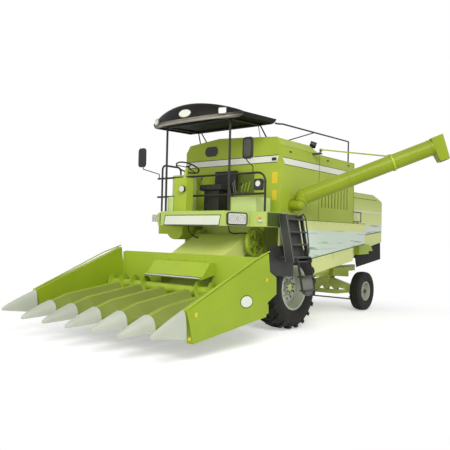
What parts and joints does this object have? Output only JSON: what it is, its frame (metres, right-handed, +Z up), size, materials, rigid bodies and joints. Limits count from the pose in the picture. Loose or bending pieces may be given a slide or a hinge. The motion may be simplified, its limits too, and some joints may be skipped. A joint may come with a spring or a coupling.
{
  "type": "self-propelled combine harvester with a six-row maize header",
  "caption": "Self-propelled combine harvester with an open canopied platform, maize header, grain tank, swinging unloading auger and steered rear axle.",
  "frame": {"origin": "on the ground, at the middle of the machine's bounding box with its unloading auger swung out; the machine's centreline is at X = -0.863 m and its front axle at Y = -0.407 m", "axes": "+X to the machine's left, +Y to its rear, +Z up"},
  "size_m": [5.3558, 8.766, 3.9342],
  "materials": {
    "green_paint": "glossy lime green paint",
    "pale_green_paint": "glossy pale green paint",
    "silver_paint": "silver white paint",
    "black_paint": "black paint",
    "black_sheet": "moulded black plastic",
    "curtain_rubber": "matt black rubber sheet",
    "tyre_rubber": "black tyre rubber",
    "rim_paint": "pale grey green paint",
    "lamp_lens": "clear lens over a bright reflector",
    "seat_cover": "black synthetic leather",
    "grey_steel": "grey plated steel",
    "bright_steel": "ground and plated",
    "dark_iron": "dark cast iron"
  },
  "bodies": {
    "chassis": {"frame_rails": "green_paint", "tow_hitch": "dark_iron", "drive_axle": "green_paint", "rear_axle": "green_paint", "threshing_body": "green_paint", "side_shield_left": "pale_green_paint", "side_shield_right": "pale_green_paint", "grain_tank": "green_paint", "engine_bay": "pale_green_paint", "engine": "dark_iron", "straw_hood": "pale_green_paint", "hood_curtain": "curtain_rubber", "platform": "green_paint", "headlamps": "lamp_lens", "marker_lamps": "lamp_lens", "platform_rails": "black_paint", "canopy": "black_sheet", "canopy_posts": "black_paint", "seat_base": "black_paint", "seat_cushion": "seat_cover", "seat_back": "seat_cover", "steering_column": "green_paint", "control_cabinets": "pale_green_paint", "mirrors": "black_sheet", "ladder_upper": "black_paint", "wheel_guard": "black_paint", "feeder_hangers": "green_paint", "unloader_base": "green_paint", "stay_bracket": "dark_iron"},
    "front_wheel_left": {"front_tyre_left": "tyre_rubber", "front_rim_left": "rim_paint"},
    "front_wheel_right": {"front_tyre_right": "tyre_rubber", "front_rim_right": "rim_paint"},
    "rear_wheel_left": {"rear_tyre_left": "tyre_rubber", "rear_rim_left": "rim_paint"},
    "rear_wheel_right": {"rear_tyre_right": "tyre_rubber", "rear_rim_right": "rim_paint"},
    "knuckle_left_body": {"knuckle_left": "dark_iron"},
    "knuckle_right_body": {"knuckle_right": "dark_iron"},
    "tie_rod_body": {"tie_rod": "grey_steel"},
    "header": {"feeder_house": "green_paint", "header_frame": "green_paint", "header_end_panels": "green_paint", "divider_hoods": "green_paint", "divider_points": "silver_paint", "row_arms": "dark_iron", "auger_hood": "green_paint"},
    "cross_auger": {"header_auger": "green_paint"},
    "drive_pulley": {"feeder_pulley": "green_paint"},
    "cylinder_barrels": {"lift_barrels": "black_paint"},
    "cylinder_rods": {"lift_rods": "bright_steel"},
    "unloading_auger": {"unloader_tube": "green_paint", "unloader_stays": "green_paint"},
    "folding_step": {"ladder_lower": "grey_steel"},
    "helm": {"steering_wheel": "black_sheet"}
  },
  "joints": [
    {"name": "front_wheel_left_spin", "type": "hinge", "parent": "chassis", "child": "front_wheel_left", "pos_m": [0.185, -0.407, 0.75], "axis": [1, 0, 0], "continuous": true},
    {"name": "front_wheel_right_spin", "type": "hinge", "parent": "chassis", "child": "front_wheel_right", "pos_m": [-1.911, -0.407, 0.75], "axis": [1, 0, 0], "continuous": true},
    {"name": "steer_left", "type": "hinge", "parent": "chassis", "child": "knuckle_left_body", "pos_m": [-0.123, 3.093, 0.445], "axis": [0, 0, 1], "range_deg": [-30, 30]},
    {"name": "steer_right", "type": "hinge", "parent": "chassis", "child": "knuckle_right_body", "pos_m": [-1.603, 3.093, 0.445], "axis": [0, 0, 1], "range_deg": [-30, 30]},
    {"name": "tie_rod_swing", "type": "hinge", "parent": "knuckle_left_body", "child": "tie_rod_body", "pos_m": [-0.123, 2.873, 0.256], "axis": [0, 0, 1], "range_deg": [-30, 30]},
    {"name": "rear_wheel_left_spin", "type": "hinge", "parent": "knuckle_left_body", "child": "rear_wheel_left", "pos_m": [0.057, 3.093, 0.445], "axis": [1, 0, 0], "continuous": true},
    {"name": "rear_wheel_right_spin", "type": "hinge", "parent": "knuckle_right_body", "child": "rear_wheel_right", "pos_m": [-1.783, 3.093, 0.445], "axis": [1, 0, 0], "continuous": true},
    {"name": "helm_turn", "type": "hinge", "parent": "chassis", "child": "helm", "pos_m": [-1.273, -1.527, 2.902], "axis": [0, 0.3714, 0.9285], "range_deg": [-360, 360]},
    {"name": "header_lift", "type": "hinge", "parent": "chassis", "child": "header", "pos_m": [-0.863, -0.967, 1.56], "axis": [-1, 0, 0], "range_deg": [-4, 14]},
    {"name": "cross_auger_spin", "type": "hinge", "parent": "header", "child": "cross_auger", "pos_m": [-0.863, -2.237, 0.74], "axis": [1, 0, 0], "continuous": true},
    {"name": "drive_pulley_spin", "type": "hinge", "parent": "header", "child": "drive_pulley", "pos_m": [-0.103, -0.967, 1.56], "axis": [1, 0, 0], "continuous": true},
    {"name": "cylinder_swing", "type": "hinge", "parent": "chassis", "child": "cylinder_barrels", "pos_m": [-0.863, -0.637, 0.64], "axis": [-1, 0, 0], "range_deg": [-3.26, 8.71]},
    {"name": "cylinder_stroke", "type": "slide", "parent": "cylinder_barrels", "child": "cylinder_rods", "axis": [0, -0.9907, 0.136], "range_m": [-0.0711, 0.2136]},
    {"name": "unloader_swing", "type": "hinge", "parent": "chassis", "child": "unloading_auger", "pos_m": [0.457, -0.287, 2.4], "axis": [-0.0257, 0.5819, 0.8129], "range_deg": [0, 76.2]},
    {"name": "step_fold", "type": "hinge", "parent": "chassis", "child": "folding_step", "pos_m": [0.7929, -0.707, 1.25], "axis": [0, -1, 0], "range_deg": [0, 130]}
  ],
  "couplings": [
    {"joint": "steer_right", "follows": "steer_left", "ratio": 1},
    {"joint": "tie_rod_swing", "follows": "steer_left", "ratio": -1},
    {"joint": "helm_turn", "follows": "steer_left", "ratio": 12},
    {"joint": "cylinder_swing", "follows": "header_lift", "ratio": 0.55387},
    {"joint": "cylinder_stroke", "follows": "header_lift", "m_per_rad": 0.84271}
  ]
}
